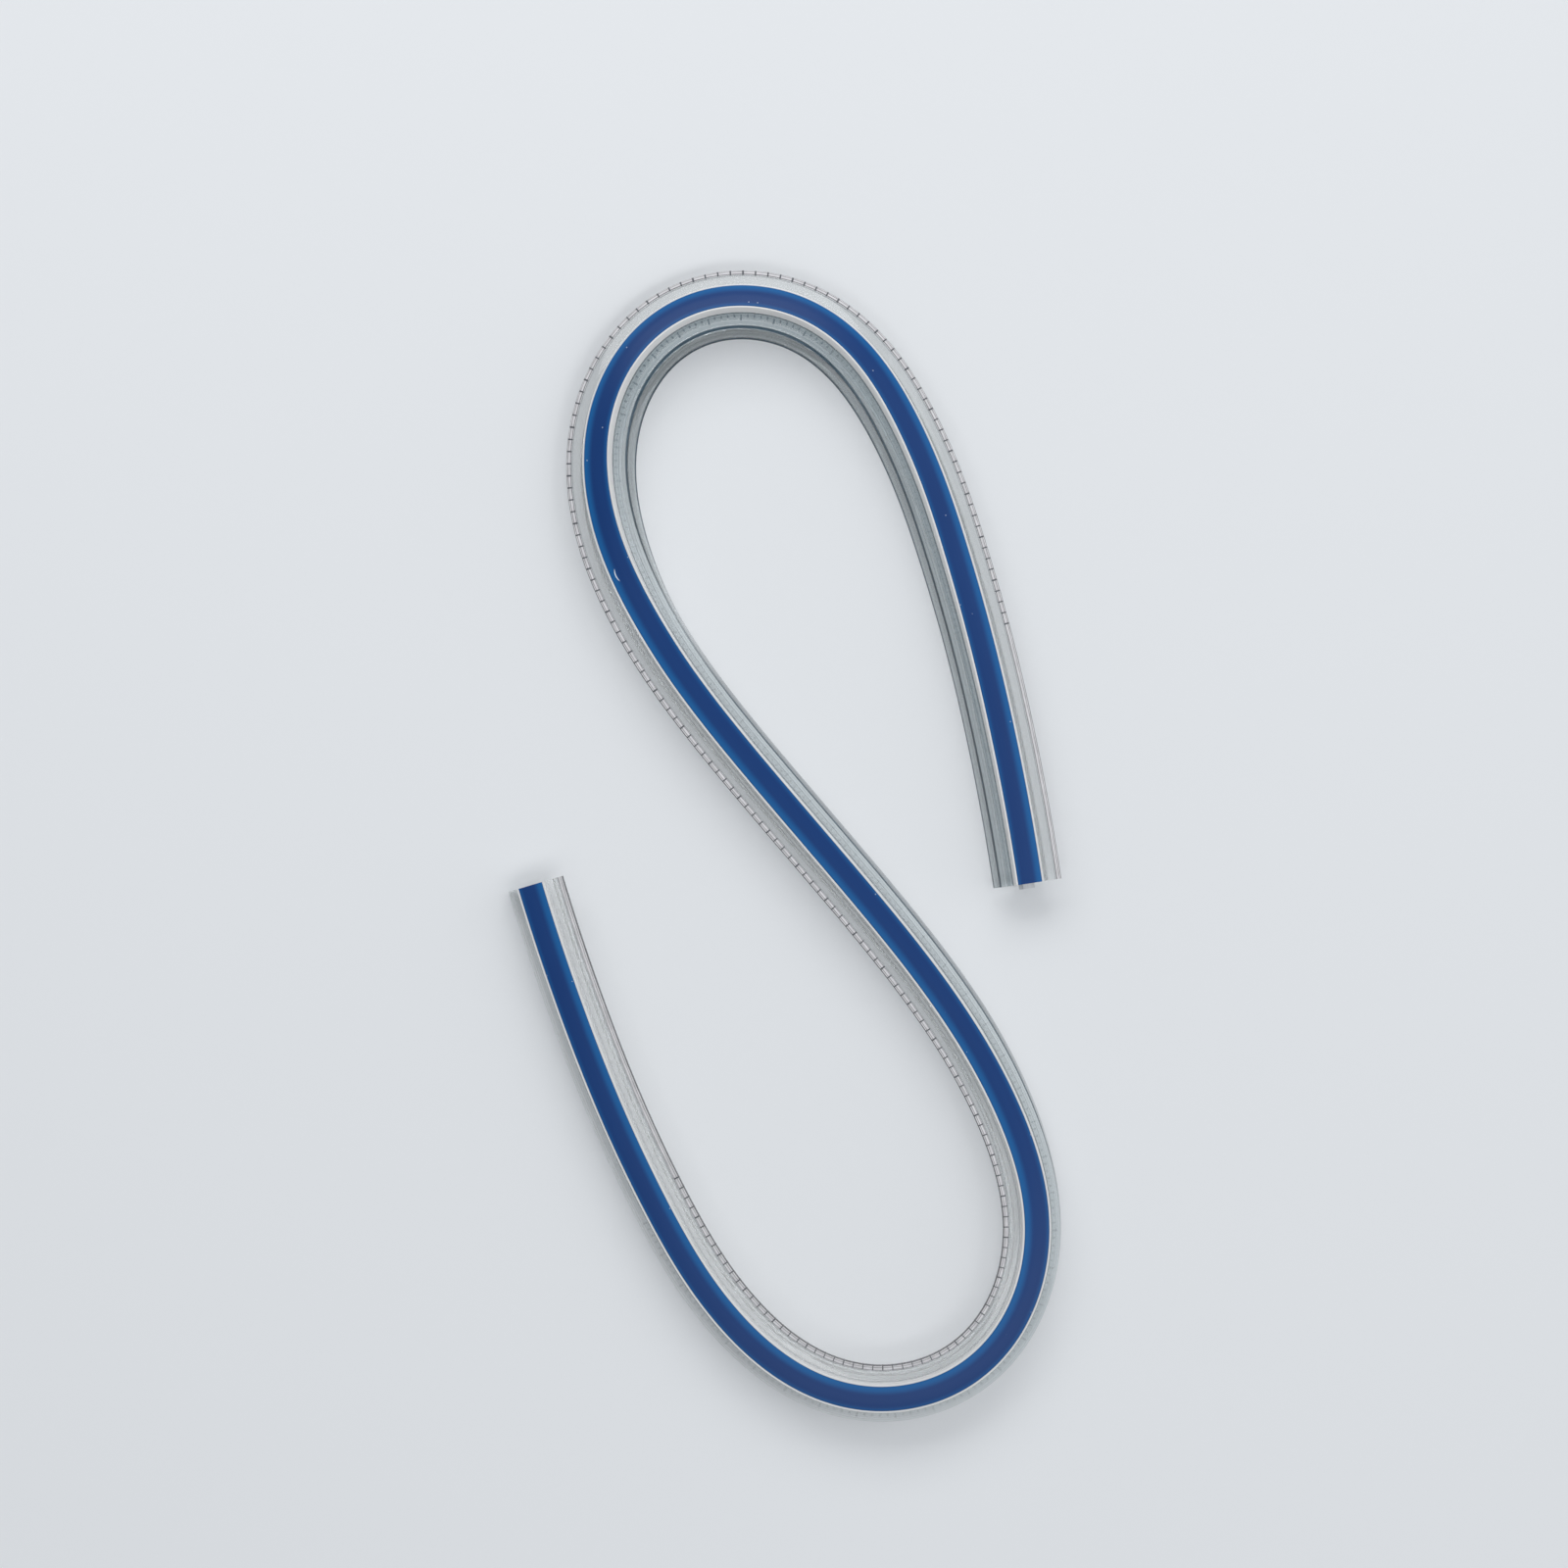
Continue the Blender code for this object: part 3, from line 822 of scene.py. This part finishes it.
leadOutline = boxOutline(
    -section["lead"], section["lead"], -section["leadHeight"], section["leadHeight"],
    section["leadRound"], steps=3,
)
leftSpring = boxOutline(
    -section["springOuter"], -section["springInner"], -section["leadHeight"],
    section["leadHeight"], section["springRound"],
)
rightSpring = boxOutline(
    section["springInner"], section["springOuter"], -section["leadHeight"],
    section["leadHeight"], section["springRound"],
)
cavityOutline = boxOutline(
    -section["cavity"], section["cavity"], -section["cavityHeight"], section["cavityHeight"],
    section["cavityRound"],
)
channelSection = channelOutline()
stripSection = stripOutline()
zones = range(1, lastZone + 1)

for zone in zones:
    sweptZone("clearSleeve", zone, [sleeveSection], materials["clear"], "clear_sleeve",
              cutMaterial=materials["cut"])
    sweptZone("whiteChannel", zone, [channelSection, cavityOutline], materials["white"],
              "white_channel")
    sweptZone("blueStrip", zone, [stripSection], materials["blue"], "blue_strip")
    sweptZone("leadCore", zone, [leadOutline], materials["lead"], "lead_core",
              stub=route["stub"])
    sweptZone("leftSpring", zone, [leftSpring], materials["steel"], "left_spring")
    sweptZone("rightSpring", zone, [rightSpring], materials["steel"], "right_spring")
print("extruded pieces made")

# Printed graduations: thin slabs of ink that follow the surface under them

# trueLine is how far to the right of the core the sleeve neither stretches nor shrinks there.
# Widths of marks are metres along the route. Ink's thickness and its reach across are millimetres.
inkScale = {"start": 0.0365, "divisions": 192, "pitch": 0.0254 / 16, "width": 0.00017,
            "longWidth": 0.00021, "longEvery": 4, "thick": 0.016, "trueLine": 0.0018,
            "pastBand": 0.03, "tipGap": 0.015, "lift": 0.02}
pencilScale = {"start": 0.0370, "divisions": 300, "pitch": 0.001, "width": 0.00026,
               "longEvery": 5, "thick": 0.016, "from": 2.44, "to": 2.82, "longTo": 3.2,
               "trueLine": -0.00067}
rimBand = {"from": 4.04, "thick": 0.014, "tipGap": 0.03}
inkShape = {"sunkShare": 0.25,     # of its thickness, below the surface
            "zoneSlack": 0.0002,   # a mark this close to a zone's rim goes to the zone before it
            "surfaceAbove": 0.2, "besidePocket": 0.1, "slack": 0.001, "leastGap": 0.01}


# Points of the sleeve's upper side between two distances across, in order
def surfaceRun(fromAcross, toAcross):
    low, high = min(fromAcross, toAcross), max(fromAcross, toAcross)
    slack, gap = inkShape["slack"], inkShape["leastGap"]
    upper = [
        point for point in sleeveSection
        if low - slack <= point[0] <= high + slack and point[1] > inkShape["surfaceAbove"]
        and abs(point[0]) > section["pocket"] + inkShape["besidePocket"]
    ]
    upper.sort(key=lambda point: (point[0], -point[1]))
    middle = [point for point in upper if low + gap < point[0] < high - gap]
    return [(low, upperHeight(low))] + middle + [(high, upperHeight(high))]


# The height of the sleeve's upper side at a distance across
def upperHeight(across):
    best = section["bottom"]
    for i in range(len(sleeveSection)):
        a, b = sleeveSection[i - 1], sleeveSection[i]
        low, high = min(a[0], b[0]), max(a[0], b[0])
        if low <= across <= high and high > low:
            t = (across - a[0]) / (b[0] - a[0])
            best = max(best, a[1] + (b[1] - a[1]) * t)
    return best


# A closed outline round a run of surface points, as thick as a coat of ink
def inkOutline(run, thick):
    top = []
    for i, point in enumerate(run):
        a, b = Vector(run[max(i - 1, 0)]), Vector(run[min(i + 1, len(run) - 1)])
        normal = Vector((-(b - a).y, (b - a).x)).normalized()
        top.append(tuple(Vector(point) + normal * thick))
    bottom = [
        tuple(Vector(p) - (Vector(q) - Vector(p)) * inkShape["sunkShare"])
        for p, q in zip(run, top)
    ]
    return bottom + list(reversed(top))


def addSlab(shell, outline, start, end, uvMap, sectionMap):
    first, last = sweptShell(shell, outline, [start, end], uvMap, sectionMap)
    capEnd(shell, [first], uvMap, sectionMap, start, [outline])
    capEnd(shell, [last], uvMap, sectionMap, end, [outline])


# Stations of a scale's marks: their pitch is true on its trueLine, so it differs on the core in
# a bend
def scaleStations(scale):
    stations = []
    station = scale["start"]
    for i in range(scale["divisions"] + 1):
        stations.append((i, station))
        bend = (headingAt(station + scale["pitch"]) - headingAt(station)) / scale["pitch"]
        station += scale["pitch"] / (1 + bend * scale["trueLine"])
    return stations


def marksOfZone(name, zone, scale, shortRun, longRun, material):
    start, end = zoneSpan(zone)
    slack = inkShape["zoneSlack"]
    shell, uvMap, sectionMap = newShell()
    for i, station in scaleStations(scale):
        if not start + slack < station <= end + slack:
            continue
        isLong = i % scale["longEvery"] == 0
        width = scale.get("longWidth", scale["width"]) if isLong else scale["width"]
        outline = inkOutline(longRun if isLong else shortRun, scale["thick"])
        addSlab(shell, outline, station - width / 2, station + width / 2, uvMap, sectionMap)
    if not shell.faces:
        shell.free()
        return
    piece = finishMesh(f"{name}{zone:02d}", shell, material, sharpAngles["ink"])
    blendOverJoint(piece, zone)


# A pale band along the ink edge, under its marks: a painted highlight where the edge's bevel
# catches the light, made as a thin slab of pale ink
def rimOfZone(zone, run):
    start, end = zoneSpan(zone)
    shell, uvMap, sectionMap = newShell()
    outline = inkOutline(run, rimBand["thick"])
    first, last = sweptShell(shell, outline, ringStations(start, end), uvMap, sectionMap)
    if zone == 1:
        capEnd(shell, [first], uvMap, sectionMap, start, [outline])
    if zone == lastZone:
        capEnd(shell, [last], uvMap, sectionMap, end, [outline])
    piece = finishMesh(f"rimHighlight{zone:02d}", shell, materials["rim"], sharpAngles["ink"])
    blendOverJoint(piece, zone)


# The same run of points, that far above the surface
def lifted(run, lift):
    outline = inkOutline(run, lift)
    return list(reversed(outline[len(run):]))


rimRun = surfaceRun(rimBand["from"], section["flangeReach"] - rimBand["tipGap"])
inkSurface = surfaceRun(
    rimBand["from"] - inkScale["pastBand"], section["flangeReach"] - inkScale["tipGap"]
)
inkRun = lifted(inkSurface, inkScale["lift"])
shortRun = surfaceRun(-pencilScale["to"], -pencilScale["from"])
longRun = surfaceRun(-pencilScale["longTo"], -pencilScale["from"])
for zone in zones:
    rimOfZone(zone, rimRun)
    marksOfZone("inkMarks", zone, inkScale, inkRun, inkRun, materials["inkMarks"])
    marksOfZone("pencilMarks", zone, pencilScale, shortRun, longRun, materials["pencilMarks"])
print("graduations made")

# Floor, light and camera

studio = {"floor": (0.80, 0.82, 0.84), "floorSize": 3.0, "floorCells": 8, "floorRough": 0.9,
          "floorShine": 0.1, "floorDrop": 0.00002,   # keeps it just under the ruler's foot
          "world": (0.93, 0.96, 1.0), "worldStrength": 0.42}
lamps = [
    {"name": "topSoftbox", "place": (-0.1, 0.55, 0.42), "size": (0.9, 0.35), "power": 2.6},
    {"name": "footSoftbox", "place": (0.1, -0.32, 0.75), "size": (0.8, 0.3), "power": 1.4},
    {"name": "sidePanel", "place": (0.9, 0.1, 0.6), "size": (1.1, 1.4), "power": 3.0},
]
view = {"pixels": 1600, "mmPerPixel": 0.1398, "centre": (-0.000154, 0.008918), "distance": 0.9,
        "sensor": 36.0, "nearest": 0.01, "farthest": 20}


def makeFloor():
    shell = bmesh.new()
    bmesh.ops.create_grid(
        shell, x_segments=studio["floorCells"], y_segments=studio["floorCells"],
        size=studio["floorSize"] / 2,
    )
    mesh = bpy.data.meshes.new("floor")
    shell.to_mesh(mesh)
    shell.free()
    material, _, shader = newMaterial("paleFloor")
    shader.inputs["Base Color"].default_value = (*studio["floor"], 1)
    shader.inputs["Roughness"].default_value = studio["floorRough"]
    shader.inputs["Specular IOR Level"].default_value = studio["floorShine"]
    mesh.materials.append(material)
    floor = bpy.data.objects.new("floor", mesh)
    floor.location.z = -studio["floorDrop"]
    bpy.context.scene.collection.objects.link(floor)


def makeLamp(lamp):
    data = bpy.data.lights.new(lamp["name"], "AREA")
    data.shape = "RECTANGLE"
    data.size, data.size_y = lamp["size"]
    data.energy = lamp["power"]
    obj = bpy.data.objects.new(lamp["name"], data)
    obj.location = lamp["place"]
    obj.rotation_euler = (-Vector(lamp["place"])).to_track_quat("-Z", "Y").to_euler()
    bpy.context.scene.collection.objects.link(obj)


def makeWorld():
    world = bpy.data.worlds.new("studio")
    world.use_nodes = True
    background = world.node_tree.nodes["Background"]
    background.inputs["Color"].default_value = (*studio["world"], 1)
    background.inputs["Strength"].default_value = studio["worldStrength"]
    bpy.context.scene.world = world


def makeCamera():
    data = bpy.data.cameras.new("overhead")
    frameWidth = view["pixels"] * view["mmPerPixel"] * mm
    data.sensor_fit = "HORIZONTAL"
    data.sensor_width = view["sensor"]
    data.lens = view["sensor"] * view["distance"] / frameWidth
    data.clip_start = view["nearest"]
    data.clip_end = view["farthest"]
    camera = bpy.data.objects.new("overhead", data)
    camera.location = (*view["centre"], view["distance"])
    bpy.context.scene.collection.objects.link(camera)
    bpy.context.scene.camera = camera


makeFloor()
for lamp in lamps:
    makeLamp(lamp)
makeWorld()
makeCamera()
bpy.context.scene.view_settings.view_transform = "Standard"
print("studio made")
